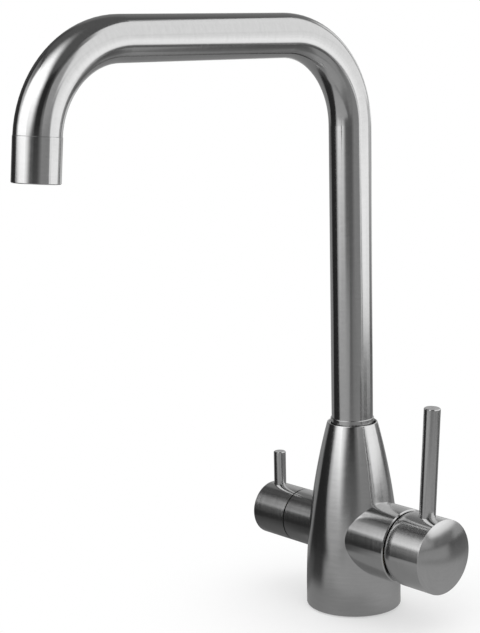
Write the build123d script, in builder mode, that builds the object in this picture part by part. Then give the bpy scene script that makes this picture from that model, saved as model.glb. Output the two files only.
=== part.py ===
from build123d import *
import os
from math import cos, radians, sin, tan

os.makedirs("parts", exist_ok=True)

# A three-way kitchen tap: hot and cold mixed on one side, filtered water on the other.
# Millimetres. The origin is the centre of the underside, +Z is up, the spout points to -Y,
# the mixer valve to +X and the filter valve to -X.

# Fits and cuts
running_fit = 0.05
thread_fit = 0.05
seat_gap = 0.3
overrun = 1.0

# Casing
base_radius = 28.8
base_straight = 10.0
base_edge_round = 1.0
casing_height = 113.9
neck_radius = 15.2
neck_bore_radius = 14.2
neck_bore_depth = 9.0
lip_round = 0.4
casing_wall = 3.0
valve_height = 45.2

# Valve bosses of the casing
mixer_boss_radius = 22.5
mixer_boss_reach = 45.8
mixer_boss_wall = 1.6
mixer_boss_chamfer = 0.6
filter_boss_radius = 16.7
filter_boss_reach = 45.0
filter_boss_wall = 1.5
filter_boss_chamfer = 0.3

# Spout tube
tube_radius = 12.5
tube_wall = 1.5
tube_foot_drop = 16.9
spout_height = 344.5
spout_reach = 215.1
bend_radius = 52.5

# Outlet
outlet_lean = 5.0
outlet_drop = 70.8
sleeve_radius = 12.7
sleeve_length = 23.6
sleeve_edge_chamfer = 0.4
sleeve_lip_height = 0.8
sleeve_lip_width = 1.0
aerator_chamber_wall = 1.3
adapter_thread_radius = 10.9
adapter_thread_length = 8.0
adapter_spigot_length = 3.4
adapter_spigot_radius = 11.25
adapter_bore_radius = 8.5
aerator_washer_thickness = 1.5
aerator_washer_bore_radius = 8.8
screen_thickness = 0.8
screen_hole_radius = 0.55
screen_ring_radii_shares = (0.5, 0.66, 0.82)
screen_ring_counts = (12, 18, 24)
insert_slot_count = 10
insert_slot_width = 1.6
insert_slot_length = 3.2

# Filtered water tube
inner_tube_radius = 4.0
inner_tube_bore_radius = 3.0
inner_tube_insertion = 11.5
inner_socket_depth = 12.0
inner_seal_depth = 6.0
inner_seal_radius = 0.6
inner_groove_depth = 1.35
inner_groove_height = 1.6

# Swivel at the spout's foot
block_neck_radius = 14.0
block_neck_length = 21.0
swivel_socket_radius = 11.05
swivel_socket_share = 0.494
spigot_foot_gap = 1.0
spigot_bore_radius = 8.5
spigot_tube_length = 10.0
spigot_groove_radius = 9.6
spigot_groove_height = 1.8
spigot_seal_radius = 0.66
spigot_seal_shares = (0.28, 0.52)
clip_share = 0.76
clip_thickness = 1.0
clip_radius = 11.8
clip_opening_angle = 60
washer_thickness = 1.2
bush_rise = 2.8
bush_collar_radius = 13.1
bush_flange_drop = 2.6
bush_foot_drop = 10.6
bush_collar_round = 0.3

# Waterway block
block_radius = 19.0
block_flange_height = 9.0
seal_height = 2.4
seal_width = 2.8
stud_hole_radius = 3.4
stud_hole_depth = 22.0
inlet_thread_radius = 4.5
inlet_thread_depth = 12.0
mixer_inlet_x = 6.5
mixer_inlet_y = 9.0
filter_inlet_x = 11.5
duct_radius = 3.0
outlet_duct_radius = 2.0
outlet_duct_x = 7.8
filtered_duct_radius = 2.7

# Cartridge housing
spigot_start = 10.0
housing_spigot_radius = 12.0
housing_floor_start = 14.0
housing_floor_thickness = 3.5
housing_end = 43.6
cartridge_radius = 17.4
port_circle_radius = 8.0
port_angles = (90, 210, 330)
port_radius = 2.5
housing_seal_position = 12.0
housing_seal_radius = 0.5
housing_groove_width = 1.2
housing_groove_depth = 1.1

# Mixer cartridge
seal_ring_radius = 4.1
seal_ring_bore_radius = 2.8
seal_ring_depth = 1.2
cartridge_base_gap = 0.4
cartridge_base_end = 22.0
disc_thickness = 3.0
fixed_disc_radius = 13.8
moving_disc_radius = 11.3
moving_disc_pocket_depth = 2.0
moving_disc_pocket_radius = 2.8
shell_wall = 3.4
shell_end_wall = 2.5
shell_shoulder = 38.5
shell_neck_end = 43.0
shell_neck_radius = 10.5
carrier_radius = 13.7
carrier_face_gap = 0.1
carrier_shoulder = 35.8
carrier_neck_radius = 8.5
carrier_neck_end = 42.6
carrier_slot_height = 12.0
pivot_position = 38.5
pivot_pin_radius = 1.25
pivot_pin_length = 15.8
nut_bore_radius = 10.8
nut_end = 43.4
nut_slot_count = 4
nut_slot_width = 4.0
nut_slot_depth = 1.8
stem_width = 6.0
stem_finger_radius = 2.2
stem_finger_length = 3.7
stem_end = 58.0
lift_angle = 12

# Mixer handle
handle_radius = 22.3
handle_gap = 0.65
handle_crease = 73.3
handle_dome = 3.6
handle_wall = 2.7
handle_front_wall = 3.8
handle_edge_length = 5.5
handle_edge_drop = 1.1
handle_relief_length = 14.4
handle_relief_drop = 3.0
hub_radius = 7.5
hub_start = 50.0
handle_crease_round = 0.25
lever_position = 59.6
lever_lean_angle = 3.4
lever_radius = 4.9
lever_length = 87.45
lever_socket_depth = 4.3
lever_stub_radius = 3.0
lever_stub_start = 10.0
lever_post_radius = 6.8
lever_top_chamfer = 0.5
grub_radius = 2.0
grub_length = 4.2
hexagon_sides = 6
grub_hex_radius = 1.15
grub_hex_depth = 2.0
mixer_grub_position = 54.2

# Filter headwork
headwork_bore_radius = 8.0
headwork_seat = 7.0
headwork_spot_face = 15.0
headwork_hex_radius = 11.0
headwork_hex_end = 20.5
headwork_body_radius = 9.0
headwork_end = 43.0
headwork_chamber_radius = 6.3
headwork_window_radius = 2.4
seat_seal_thickness = 0.7
seat_seal_bore_radius = 3.2
filter_disc_thickness = 2.4
filter_disc_radius = 6.0
filter_disc_port_shift = 3.0
filter_disc_port_radius = 1.8
spindle_radius = 4.0
spindle_flange_thickness = 1.0
spindle_tongue_length = 10.0
spindle_tongue_width = 5.0
spindle_end = 60.0
spindle_groove_radius = 3.1
spindle_groove_width = 1.2
spindle_seal_radius = 0.42
spindle_seal_positions = (27.0, 33.0)
spindle_clip_thickness = 0.8
spindle_clip_radius = 6.2
spindle_clip_gap = 0.1
collar_start = 36.0
collar_end = 42.6
filter_gap = 0.6

# Filter knob
knob_crease = 72.7
knob_dome = 2.6
knob_wall = 2.3
knob_front_wall = 3.2
knob_hub_radius = 7.0
knob_hub_start = 48.0
filter_lever_position = 65.6
filter_lever_radius = 3.85
filter_lever_length = 38.0
filter_lever_socket_depth = 3.7
filter_lever_stub_radius = 2.5
filter_lever_stub_start = 8.0
filter_lever_post_radius = 5.6
filter_grub_position = 54.0

# Places worked out from the sizes above
base_bore_radius = base_radius - casing_wall
mixer_bore_radius = mixer_boss_radius - mixer_boss_wall
filter_bore_radius = filter_boss_radius - filter_boss_wall
tube_bore_radius = tube_radius - tube_wall
outlet_height = spout_height - outlet_drop
seam_height = outlet_height + sleeve_length
tube_foot_height = casing_height - tube_foot_drop
block_height = tube_foot_height - washer_thickness
block_neck_height = block_height - block_neck_length
swivel_socket_depth = swivel_socket_share * (block_height - valve_height)
socket_floor = block_height - swivel_socket_depth
spigot_seal_heights = [socket_floor + share * swivel_socket_depth for share in spigot_seal_shares]
clip_height = socket_floor + clip_share * swivel_socket_depth
inner_tube_foot_height = socket_floor - inner_tube_insertion
inner_seal_height = socket_floor - inner_seal_depth
bush_height = casing_height + bush_rise
bush_flange_height = casing_height - bush_flange_drop
bush_foot_height = casing_height - bush_foot_drop
housing_radius = mixer_bore_radius - seat_gap
housing_bore_radius = cartridge_radius + thread_fit
floor_end = housing_floor_start + housing_floor_thickness
cartridge_base_start = floor_end + cartridge_base_gap
fixed_disc_end = cartridge_base_end + disc_thickness
moving_disc_end = fixed_disc_end + disc_thickness
handle_rear = mixer_boss_reach + handle_gap
knob_rear = filter_boss_reach + filter_gap

mixer_plane = Plane(origin=(0, 0, valve_height), x_dir=(0, 1, 0), z_dir=(1, 0, 0))
filter_plane = Plane(origin=(0, 0, valve_height), x_dir=(0, -1, 0), z_dir=(-1, 0, 0))
mixer_section = Plane(origin=(0, 0, valve_height), x_dir=(1, 0, 0), z_dir=(0, -1, 0))
filter_section = Plane(origin=(0, 0, valve_height), x_dir=(-1, 0, 0), z_dir=(0, 1, 0))
valve_axis = Axis((0, 0, valve_height), (1, 0, 0))
lever_plane = Plane(
    origin=(lever_position, 0, valve_height),
    z_dir=(sin(radians(lever_lean_angle)), 0, cos(radians(lever_lean_angle))),
)
mixer_grub_plane = Plane(origin=(mixer_grub_position, 0, valve_height), z_dir=(0, 0, -1))
filter_lever_plane = Plane(origin=(-filter_lever_position, 0, valve_height), z_dir=(0, 0, 1))
filter_grub_plane = Plane(origin=(-filter_grub_position, 0, valve_height), z_dir=(0, 0, -1))

port_places = [
    (port_circle_radius * cos(radians(angle)), port_circle_radius * sin(radians(angle)))
    for angle in port_angles
]


def turned(plane, *spans):
    """Discs on one axis; each span gives its start, end and radius."""
    with BuildPart() as discs:
        for start, end, radius in spans:
            with BuildSketch(plane.offset(start)):
                Circle(radius)
            extrude(amount=end - start)
    return discs.part


def ring(plane, start, end, inner, outer):
    """A flat ring on a plane's axis."""
    with BuildPart() as disc:
        with BuildSketch(plane.offset(start)):
            Circle(outer)
            Circle(inner, mode=Mode.SUBTRACT)
        extrude(amount=end - start)
    return disc.part


def round_seals(plane, positions, middle_radius, section_radius):
    """Round-section rings at several places along a plane's axis."""
    with BuildPart() as seals:
        for position in positions:
            with Locations(plane.offset(position)):
                Torus(middle_radius, section_radius)
    return seals.part


def grub_screw(plane, start):
    """A headless set screw with a hexagon socket in its outer end."""
    with BuildPart() as screw:
        add(turned(plane, (start, start + grub_length, grub_radius)))
        with BuildSketch(plane.offset(start + grub_length)):
            RegularPolygon(grub_hex_radius, hexagon_sides)
        extrude(amount=-grub_hex_depth, mode=Mode.SUBTRACT)
    return screw.part


def closed_rims(builder):
    """The full circles among a shape's edges, along X."""
    circles = builder.edges().filter_by(GeomType.CIRCLE)
    return circles.filter_by(lambda edge: edge.is_closed).sort_by(Axis.X)


# Body: the casing, a cone with one boss for each valve
with BuildPart() as body_casing:
    with BuildSketch(Plane.XZ):
        with BuildLine():
            Line((0, 0), (base_radius, 0))
            Line((base_radius, 0), (base_radius, base_straight))
            TangentArc((base_radius, base_straight), (neck_radius, casing_height), tangent=(0, 1))
            Line((neck_radius, casing_height), (0, casing_height))
            Line((0, casing_height), (0, 0))
        make_face()
    revolve(axis=Axis.Z)
    add(turned(mixer_plane, (0, mixer_boss_reach, mixer_boss_radius)))
    add(turned(filter_plane, (0, filter_boss_reach, filter_boss_radius)))
    with BuildSketch(Plane.XZ):
        with BuildLine():
            Line((0, 0), (base_bore_radius, 0))
            Line((base_bore_radius, 0), (base_bore_radius, base_straight))
            TangentArc(
                (base_bore_radius, base_straight),
                (neck_bore_radius, casing_height - neck_bore_depth),
                tangent=(0, 1),
            )
            Line((neck_bore_radius, casing_height - neck_bore_depth), (neck_bore_radius, casing_height))
            Line((neck_bore_radius, casing_height), (0, casing_height))
            Line((0, casing_height), (0, 0))
        make_face()
    revolve(axis=Axis.Z, mode=Mode.SUBTRACT)
    add(turned(mixer_plane, (0, mixer_boss_reach, mixer_bore_radius)), mode=Mode.SUBTRACT)
    add(turned(filter_plane, (0, filter_boss_reach, filter_bore_radius)), mode=Mode.SUBTRACT)
    fillet(body_casing.edges().group_by(Axis.Z)[0].sort_by(SortBy.RADIUS)[-1], base_edge_round)
    fillet(body_casing.edges().group_by(Axis.Z)[-1], lip_round)
    chamfer(body_casing.edges().group_by(Axis.X)[-1].sort_by(SortBy.RADIUS)[-1], mixer_boss_chamfer)
    chamfer(body_casing.edges().group_by(Axis.X)[0].sort_by(SortBy.RADIUS)[-1], filter_boss_chamfer)
body_casing.part.label = "body_casing"
export_step(body_casing.part, "parts/body_casing.step")

# Flat ring between the casing and the block, on the worktop
seal_outer_radius = base_bore_radius - thread_fit
seal_inner_radius = seal_outer_radius - seal_width
with BuildPart() as base_seal:
    add(ring(Plane.XY, 0, seal_height, seal_inner_radius, seal_outer_radius))
base_seal.part.label = "base_seal"
export_step(base_seal.part, "parts/base_seal.step")

# Waterway block: inlets below, valve seats at the sides, the spout's socket on top
with BuildPart() as core_block:
    add(
        turned(
            Plane.XY,
            (0, seal_height, seal_inner_radius - thread_fit),
            (seal_height, block_flange_height, base_bore_radius - running_fit),
            (block_flange_height, block_neck_height, block_radius),
            (block_neck_height, block_height, block_neck_radius),
        )
    )
    # seats of the mixer housing and of the filter headwork
    add(
        turned(
            mixer_plane,
            (housing_floor_start, block_radius + overrun, housing_radius + seat_gap),
            (spigot_start, housing_floor_start, housing_spigot_radius + running_fit),
        ),
        mode=Mode.SUBTRACT,
    )
    add(
        turned(
            filter_plane,
            (headwork_spot_face, block_radius + overrun, headwork_hex_radius + seat_gap),
            (headwork_seat, headwork_spot_face, headwork_bore_radius),
            (-filtered_duct_radius, headwork_seat, duct_radius),
        ),
        mode=Mode.SUBTRACT,
    )
    # threaded holes in the underside
    with BuildSketch(Plane.XY):
        Circle(stud_hole_radius)
    extrude(amount=stud_hole_depth, mode=Mode.SUBTRACT)
    with BuildSketch(Plane.XY):
        with Locations((mixer_inlet_x, mixer_inlet_y), (mixer_inlet_x, -mixer_inlet_y), (-filter_inlet_x, 0)):
            Circle(inlet_thread_radius)
    extrude(amount=inlet_thread_depth, mode=Mode.SUBTRACT)
    # hot and cold ducts, up and across to the housing's lower ports
    with BuildSketch(Plane.XY):
        with Locations((mixer_inlet_x, mixer_inlet_y), (mixer_inlet_x, -mixer_inlet_y)):
            Circle(duct_radius)
    extrude(amount=valve_height + port_places[1][1], mode=Mode.SUBTRACT)
    with BuildSketch(mixer_plane.offset(spigot_start)):
        with Locations(*port_places):
            Circle(port_radius)
    extrude(amount=mixer_inlet_x - spigot_start, mode=Mode.SUBTRACT)
    # mixed water rises beside the inner tube's socket
    add(
        turned(
            Plane((outlet_duct_x, 0, 0)),
            (valve_height + port_circle_radius, socket_floor, outlet_duct_radius),
        ),
        mode=Mode.SUBTRACT,
    )
    # filtered water: inlet duct up to the headwork, then up the middle
    add(
        turned(
            Plane((-filter_inlet_x, 0, 0)),
            (0, valve_height - headwork_bore_radius + duct_radius, duct_radius),
        ),
        mode=Mode.SUBTRACT,
    )
    add(
        turned(
            Plane.XY,
            (valve_height, socket_floor, filtered_duct_radius),
            (socket_floor - inner_socket_depth, socket_floor, inner_tube_radius + running_fit),
            (socket_floor, block_height, swivel_socket_radius),
        ),
        mode=Mode.SUBTRACT,
    )
    # grooves of the inner tube's seal and of the spout's snap ring
    add(
        turned(
            Plane.XY,
            (
                inner_seal_height - inner_groove_height / 2,
                inner_seal_height + inner_groove_height / 2,
                inner_tube_radius + running_fit + inner_groove_depth,
            ),
            (clip_height - seat_gap, clip_height + clip_thickness + seat_gap, clip_radius + seat_gap),
        ),
        mode=Mode.SUBTRACT,
    )
core_block.part.label = "core_block"
export_step(core_block.part, "parts/core_block.step")

# Mixer valve: the brass housing that screws into the block through the casing's boss
with BuildPart() as cartridge_housing:
    add(
        turned(
            mixer_plane,
            (spigot_start + thread_fit, housing_floor_start, housing_spigot_radius),
            (housing_floor_start, housing_end, housing_radius),
        )
    )
    add(turned(mixer_plane, (floor_end, housing_end, housing_bore_radius)), mode=Mode.SUBTRACT)
    add(
        ring(
            mixer_plane,
            housing_seal_position - housing_groove_width / 2,
            housing_seal_position + housing_groove_width / 2,
            housing_spigot_radius - housing_groove_depth,
            housing_spigot_radius + overrun,
        ),
        mode=Mode.SUBTRACT,
    )
    with BuildSketch(mixer_plane.offset(spigot_start)):
        with Locations(*port_places):
            Circle(port_radius)
    extrude(amount=floor_end - spigot_start, mode=Mode.SUBTRACT)
cartridge_housing.part.label = "cartridge_housing"
export_step(cartridge_housing.part, "parts/cartridge_housing.step")

housing_seal_middle = housing_spigot_radius - housing_groove_depth + thread_fit + housing_seal_radius
with BuildPart() as housing_o_ring:
    add(round_seals(mixer_plane, [housing_seal_position], housing_seal_middle, housing_seal_radius))
housing_o_ring.part.label = "housing_o_ring"
export_step(housing_o_ring.part, "parts/housing_o_ring.step")

# Cartridge base with its three port seals
with BuildPart() as cartridge_base:
    add(turned(mixer_plane, (cartridge_base_start, cartridge_base_end, cartridge_radius)))
    with BuildSketch(mixer_plane.offset(cartridge_base_start)):
        with Locations(*port_places):
            Circle(port_radius)
    extrude(amount=cartridge_base_end - cartridge_base_start, mode=Mode.SUBTRACT)
    with BuildSketch(mixer_plane.offset(cartridge_base_start)):
        with Locations(*port_places):
            Circle(seal_ring_radius + thread_fit)
    extrude(amount=seal_ring_depth, mode=Mode.SUBTRACT)
cartridge_base.part.label = "cartridge_base"
export_step(cartridge_base.part, "parts/cartridge_base.step")

with BuildPart() as cartridge_seals:
    with BuildSketch(mixer_plane.offset(floor_end)):
        with Locations(*port_places):
            Circle(seal_ring_radius)
            Circle(seal_ring_bore_radius, mode=Mode.SUBTRACT)
    extrude(amount=cartridge_base_gap + seal_ring_depth)
cartridge_seals.part.label = "cartridge_seals"
export_step(cartridge_seals.part, "parts/cartridge_seals.step")

# Ceramic discs: the fixed one with three ports, the moving one with a mixing hollow
with BuildPart() as mixer_fixed_disc:
    add(turned(mixer_plane, (cartridge_base_end, fixed_disc_end, fixed_disc_radius)))
    with BuildSketch(mixer_plane.offset(cartridge_base_end)):
        with Locations(*port_places):
            Circle(port_radius)
    extrude(amount=disc_thickness, mode=Mode.SUBTRACT)
mixer_fixed_disc.part.label = "mixer_fixed_disc"
export_step(mixer_fixed_disc.part, "parts/mixer_fixed_disc.step")

pocket_start = moving_disc_end - moving_disc_pocket_depth
with BuildPart() as mixer_moving_disc:
    add(turned(mixer_plane, (fixed_disc_end, moving_disc_end, moving_disc_radius)))
    add(
        turned(mixer_plane, (pocket_start, moving_disc_end, moving_disc_pocket_radius)),
        mode=Mode.SUBTRACT,
    )
mixer_moving_disc.part.label = "mixer_moving_disc"
export_step(mixer_moving_disc.part, "parts/mixer_moving_disc.step")

# Carrier that turns in the shell and holds the stem's hinge pin
carrier_start = moving_disc_end + carrier_face_gap
with BuildPart() as disc_carrier:
    add(
        turned(
            mixer_plane,
            (carrier_start, carrier_shoulder, carrier_radius),
            (carrier_shoulder, carrier_neck_end, carrier_neck_radius),
        )
    )
    with BuildSketch(mixer_plane.offset(carrier_start)):
        Rectangle(stem_width + 2 * seat_gap, carrier_slot_height)
    extrude(amount=carrier_neck_end - carrier_start, mode=Mode.SUBTRACT)
    with Locations(Location((pivot_position, 0, valve_height), (90, 0, 0))):
        Cylinder(pivot_pin_radius + thread_fit, pivot_pin_length, mode=Mode.SUBTRACT)
disc_carrier.part.label = "disc_carrier"
export_step(disc_carrier.part, "parts/disc_carrier.step")

with BuildPart() as pivot_pin:
    with Locations(Location((pivot_position, 0, valve_height), (90, 0, 0))):
        Cylinder(pivot_pin_radius, pivot_pin_length)
pivot_pin.part.label = "pivot_pin"
export_step(pivot_pin.part, "parts/pivot_pin.step")

# Square stem with the finger that pushes the moving disc
finger_start = pocket_start + seat_gap
with BuildPart() as lever_stem:
    with BuildSketch(mixer_plane.offset(finger_start + stem_finger_length)):
        Rectangle(stem_width, stem_width)
    extrude(amount=stem_end - finger_start - stem_finger_length)
    add(turned(mixer_plane, (finger_start, finger_start + stem_finger_length, stem_finger_radius)))
    with Locations(Location((pivot_position, 0, valve_height), (90, 0, 0))):
        Cylinder(pivot_pin_radius + running_fit, stem_width + overrun, mode=Mode.SUBTRACT)
lever_stem.part.label = "lever_stem"
export_step(lever_stem.part, "parts/lever_stem.step")

# Cartridge shell and the ring nut that clamps it
with BuildPart() as cartridge_shell:
    add(
        turned(
            mixer_plane,
            (cartridge_base_end, shell_shoulder, cartridge_radius),
            (shell_shoulder, shell_neck_end, shell_neck_radius),
        )
    )
    add(
        turned(
            mixer_plane,
            (cartridge_base_end, shell_shoulder - shell_end_wall, cartridge_radius - shell_wall),
            (cartridge_base_end, shell_neck_end, carrier_neck_radius + seat_gap),
        ),
        mode=Mode.SUBTRACT,
    )
cartridge_shell.part.label = "cartridge_shell"
export_step(cartridge_shell.part, "parts/cartridge_shell.step")

with BuildPart() as cartridge_nut:
    add(ring(mixer_plane, shell_shoulder, nut_end, nut_bore_radius, cartridge_radius))
    with BuildSketch(mixer_plane.offset(nut_end - nut_slot_depth)):
        with PolarLocations(cartridge_radius, nut_slot_count):
            Rectangle(cartridge_radius - nut_bore_radius, nut_slot_width)
    extrude(amount=nut_slot_depth, mode=Mode.SUBTRACT)
cartridge_nut.part.label = "cartridge_nut"
export_step(cartridge_nut.part, "parts/cartridge_nut.step")

# Mixer handle: a hollow cylinder with a domed end, relieved below so that it can tilt
handle_cut = handle_radius + overrun
relief_end = handle_rear + handle_relief_length
with BuildPart() as mixer_handle:
    with BuildSketch(mixer_section):
        with BuildLine():
            Line((handle_rear, 0), (handle_rear, handle_radius - handle_edge_drop))
            TangentArc(
                (handle_rear + handle_edge_length, handle_radius),
                (handle_rear, handle_radius - handle_edge_drop),
                tangent=(-1, 0),
            )
            Line((handle_rear + handle_edge_length, handle_radius), (handle_crease, handle_radius))
            TangentArc((handle_crease + handle_dome, 0), (handle_crease, handle_radius), tangent=(0, 1))
            Line((handle_crease + handle_dome, 0), (handle_rear, 0))
        make_face()
    revolve(axis=valve_axis)
    fillet(closed_rims(mixer_handle)[-1], handle_crease_round)
    add(
        turned(
            mixer_plane,
            (handle_rear - overrun, handle_crease - handle_front_wall, handle_radius - handle_wall),
        ),
        mode=Mode.SUBTRACT,
    )
    add(turned(mixer_plane, (hub_start, handle_crease - handle_front_wall, hub_radius)))
    add(turned(lever_plane, (0, handle_radius - handle_wall / 2, lever_post_radius)))
    add(
        turned(
            lever_plane,
            (lever_stub_start, handle_radius, lever_stub_radius + thread_fit),
            (handle_radius - lever_socket_depth, handle_cut, lever_radius + thread_fit),
        ),
        mode=Mode.SUBTRACT,
    )
    add(turned(mixer_grub_plane, (0, handle_cut, grub_radius + thread_fit)), mode=Mode.SUBTRACT)
    with BuildSketch(mixer_plane.offset(hub_start)):
        Rectangle(stem_width + 2 * thread_fit, stem_width + 2 * thread_fit)
    extrude(amount=stem_end + seat_gap - hub_start, mode=Mode.SUBTRACT)
    # wedge and curve below, which clear the boss while the handle tilts
    with BuildSketch(mixer_section):
        with BuildLine():
            Polyline(
                (handle_rear, 0),
                (handle_rear - overrun, 0),
                (handle_rear - overrun, -handle_cut),
                (handle_rear + handle_cut * tan(radians(lift_angle)), -handle_cut),
                (handle_rear, 0),
            )
        make_face()
    extrude(amount=handle_cut, both=True, mode=Mode.SUBTRACT)
    with BuildSketch(mixer_section):
        with BuildLine():
            TangentArc(
                (relief_end, -handle_radius),
                (handle_rear, -handle_radius + handle_relief_drop),
                tangent=(-1, 0),
            )
            Polyline(
                (handle_rear, -handle_radius + handle_relief_drop),
                (handle_rear, -handle_cut),
                (relief_end, -handle_cut),
                (relief_end, -handle_radius),
            )
        make_face()
    extrude(amount=handle_cut, both=True, mode=Mode.SUBTRACT)
mixer_handle.part.label = "mixer_handle"
export_step(mixer_handle.part, "parts/mixer_handle.step")

with BuildPart() as mixer_lever:
    add(
        turned(
            lever_plane,
            (lever_stub_start, handle_radius - lever_socket_depth, lever_stub_radius),
            (handle_radius - lever_socket_depth, lever_length, lever_radius),
        )
    )
    chamfer(mixer_lever.edges().sort_by(Axis.Z)[-1], lever_top_chamfer)
mixer_lever.part.label = "mixer_lever"
export_step(mixer_lever.part, "parts/mixer_lever.step")

with BuildPart() as mixer_grub_screw:
    add(grub_screw(mixer_grub_plane, stem_width / 2 + thread_fit))
mixer_grub_screw.part.label = "mixer_grub_screw"
export_step(mixer_grub_screw.part, "parts/mixer_grub_screw.step")

# Filter valve: a brass quarter-turn headwork that screws into the block
with BuildPart() as headwork_body:
    add(
        turned(
            filter_plane,
            (headwork_seat, headwork_spot_face, headwork_bore_radius - thread_fit),
            (headwork_spot_face, headwork_end, headwork_body_radius),
        )
    )
    with BuildSketch(filter_plane.offset(headwork_spot_face)):
        RegularPolygon(headwork_hex_radius, hexagon_sides)
    extrude(amount=headwork_hex_end - headwork_spot_face)
    add(
        turned(
            filter_plane,
            (headwork_seat, headwork_spot_face + running_fit, headwork_chamber_radius),
            (headwork_spot_face, headwork_end, spindle_radius + running_fit),
        ),
        mode=Mode.SUBTRACT,
    )
    add(
        turned(
            Plane(origin=(-filter_inlet_x, 0, valve_height), z_dir=(0, 0, -1)),
            (0, headwork_bore_radius, headwork_window_radius),
        ),
        mode=Mode.SUBTRACT,
    )
headwork_body.part.label = "headwork_body"
export_step(headwork_body.part, "parts/headwork_body.step")

# Its rubber seat and ceramic discs
filter_disc_start = headwork_seat + seat_seal_thickness
filter_disc_middle = filter_disc_start + filter_disc_thickness
filter_disc_end = filter_disc_middle + filter_disc_thickness
with BuildPart() as seat_seal:
    add(ring(filter_plane, headwork_seat, filter_disc_start, seat_seal_bore_radius, filter_disc_radius))
seat_seal.part.label = "seat_seal"
export_step(seat_seal.part, "parts/seat_seal.step")

with BuildPart() as filter_fixed_disc:
    add(turned(filter_plane, (filter_disc_start, filter_disc_middle, filter_disc_radius)))
    with BuildSketch(filter_plane.offset(filter_disc_start)):
        with Locations((0, filter_disc_port_shift), (0, -filter_disc_port_shift)):
            Circle(filter_disc_port_radius)
    extrude(amount=filter_disc_thickness, mode=Mode.SUBTRACT)
filter_fixed_disc.part.label = "filter_fixed_disc"
export_step(filter_fixed_disc.part, "parts/filter_fixed_disc.step")

with BuildPart() as filter_turning_disc:
    add(turned(filter_plane, (filter_disc_middle, filter_disc_end, filter_disc_radius)))
    with BuildSketch(filter_plane.offset(filter_disc_middle)):
        with Locations((filter_disc_port_shift, 0), (-filter_disc_port_shift, 0)):
            Circle(filter_disc_port_radius)
    extrude(amount=filter_disc_thickness, mode=Mode.SUBTRACT)
filter_turning_disc.part.label = "filter_turning_disc"
export_step(filter_turning_disc.part, "parts/filter_turning_disc.step")

# Spindle with two seal grooves and a clip groove
spindle_clip_start = headwork_end + spindle_clip_gap
spindle_flange_start = headwork_spot_face - spindle_flange_thickness
with BuildPart() as filter_spindle:
    add(
        turned(
            filter_plane,
            (spindle_flange_start, headwork_spot_face, filter_disc_radius),
            (headwork_spot_face, spindle_end, spindle_radius),
        )
    )
    with BuildSketch(filter_plane.offset(filter_disc_end)):
        Rectangle(spindle_tongue_length, spindle_tongue_width)
    extrude(amount=spindle_flange_start - filter_disc_end)
    for position in spindle_seal_positions:
        add(
            ring(
                filter_plane,
                position - spindle_groove_width / 2,
                position + spindle_groove_width / 2,
                spindle_groove_radius,
                spindle_radius + overrun,
            ),
            mode=Mode.SUBTRACT,
        )
    add(
        ring(
            filter_plane,
            spindle_clip_start,
            spindle_clip_start + spindle_clip_thickness,
            spindle_groove_radius,
            spindle_radius + overrun,
        ),
        mode=Mode.SUBTRACT,
    )
filter_spindle.part.label = "filter_spindle"
export_step(filter_spindle.part, "parts/filter_spindle.step")

spindle_seal_middle = spindle_groove_radius + spindle_seal_radius + running_fit / 2
with BuildPart() as spindle_o_rings:
    add(round_seals(filter_plane, spindle_seal_positions, spindle_seal_middle, spindle_seal_radius))
spindle_o_rings.part.label = "spindle_o_rings"
export_step(spindle_o_rings.part, "parts/spindle_o_rings.step")

with BuildPart() as spindle_clip:
    with BuildSketch(filter_plane.offset(spindle_clip_start)):
        Circle(spindle_clip_radius)
        Circle(spindle_groove_radius + thread_fit, mode=Mode.SUBTRACT)
        with Locations((spindle_clip_radius, 0)):
            Rectangle(2 * spindle_clip_radius, spindle_radius, mode=Mode.SUBTRACT)
    extrude(amount=spindle_clip_thickness)
spindle_clip.part.label = "spindle_clip"
export_step(spindle_clip.part, "parts/spindle_clip.step")

# Ring nut between the headwork and the casing's boss
with BuildPart() as filter_collar:
    add(
        ring(
            filter_plane,
            collar_start,
            collar_end,
            headwork_body_radius + thread_fit,
            filter_bore_radius - thread_fit,
        )
    )
filter_collar.part.label = "filter_collar"
export_step(filter_collar.part, "parts/filter_collar.step")

# Filter knob, of the same form as the mixer handle but without its relief
knob_cut = filter_boss_radius + overrun
with BuildPart() as filter_knob:
    with BuildSketch(filter_section):
        with BuildLine():
            Polyline(
                (knob_crease + knob_dome, 0),
                (knob_rear, 0),
                (knob_rear, filter_boss_radius),
                (knob_crease, filter_boss_radius),
            )
            TangentArc((knob_crease + knob_dome, 0), (knob_crease, filter_boss_radius), tangent=(0, 1))
        make_face()
    revolve(axis=valve_axis)
    fillet(closed_rims(filter_knob)[0], handle_crease_round)
    add(
        turned(
            filter_plane,
            (knob_rear - overrun, knob_crease - knob_front_wall, filter_boss_radius - knob_wall),
        ),
        mode=Mode.SUBTRACT,
    )
    add(turned(filter_plane, (knob_hub_start, knob_crease - knob_front_wall, knob_hub_radius)))
    add(turned(filter_lever_plane, (0, filter_boss_radius - knob_wall / 2, filter_lever_post_radius)))
    add(
        turned(
            filter_lever_plane,
            (filter_lever_stub_start, filter_boss_radius, filter_lever_stub_radius + thread_fit),
            (
                filter_boss_radius - filter_lever_socket_depth,
                knob_cut,
                filter_lever_radius + thread_fit,
            ),
        ),
        mode=Mode.SUBTRACT,
    )
    add(turned(filter_grub_plane, (0, knob_cut, grub_radius + thread_fit)), mode=Mode.SUBTRACT)
    add(
        turned(
            filter_plane,
            (knob_hub_start - overrun, spindle_end + seat_gap, spindle_radius + thread_fit),
        ),
        mode=Mode.SUBTRACT,
    )
filter_knob.part.label = "filter_knob"
export_step(filter_knob.part, "parts/filter_knob.step")

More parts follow.
